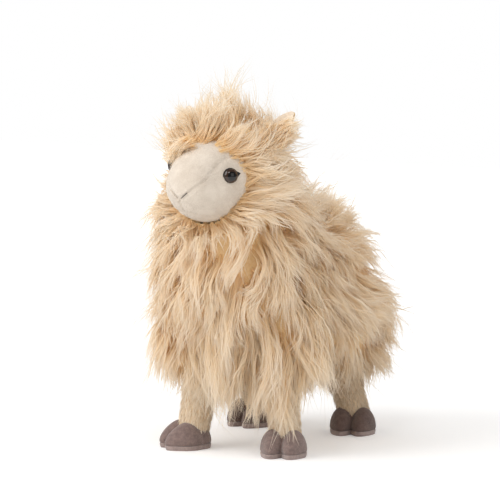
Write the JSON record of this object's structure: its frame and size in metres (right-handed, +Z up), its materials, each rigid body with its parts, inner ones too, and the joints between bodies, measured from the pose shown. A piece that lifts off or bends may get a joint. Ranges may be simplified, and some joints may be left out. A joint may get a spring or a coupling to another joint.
{
  "type": "plush llama",
  "caption": "Standing stuffed llama with a long shaggy cream coat, a bare short-pile face, moulded eyes and grey two-toed hooves.",
  "frame": {"origin": "middle of the whole animal's box, on the surface that the soles stand on", "axes": "+Z up; the llama faces -Y; its left side is +X"},
  "size_m": [0.195, 0.268, 0.3124],
  "materials": {
    "long_pile": "long cream fur fabric, satin hairs",
    "face_pile": "short brushed pile",
    "leg_pile": "short pile",
    "hoof_suede": "suede-like short plush",
    "fibre": "loose polyester filling",
    "eye_plastic": "clear gloss over brown and black",
    "felt": "black felt",
    "thread": "black embroidery thread",
    "washer_plastic": "plain moulded"
  },
  "bodies": {
    "root": {"belly_panel": "long_pile", "body_stuffing": "fibre", "cheek_left": "face_pile", "cheek_right": "face_pile", "chin_panel": "face_pile", "coat_left": "long_pile", "coat_right": "long_pile", "ear_back_left": "long_pile", "ear_back_right": "long_pile", "ear_lining_left": "face_pile", "ear_lining_right": "face_pile", "eye_felt_left": "felt", "eye_felt_right": "felt", "eye_left": "eye_plastic", "eye_right": "eye_plastic", "eye_washer_left": "washer_plastic", "eye_washer_right": "washer_plastic", "face_bridge": "face_pile", "hood": "long_pile", "hoof_sole_front_left": "hoof_suede", "hoof_sole_front_right": "hoof_suede", "hoof_sole_rear_left": "hoof_suede", "hoof_sole_rear_right": "hoof_suede", "hoof_upper_front_left": "hoof_suede", "hoof_upper_front_right": "hoof_suede", "hoof_upper_rear_left": "hoof_suede", "hoof_upper_rear_right": "hoof_suede", "leg_front_left": "leg_pile", "leg_front_right": "leg_pile", "leg_rear_left": "leg_pile", "leg_rear_right": "leg_pile", "leg_stuffing_front_left": "fibre", "leg_stuffing_front_right": "fibre", "leg_stuffing_rear_left": "fibre", "leg_stuffing_rear_right": "fibre", "nostril_stitch_left": "thread", "nostril_stitch_right": "thread", "tail": "long_pile"}
  },
  "joints": []
}
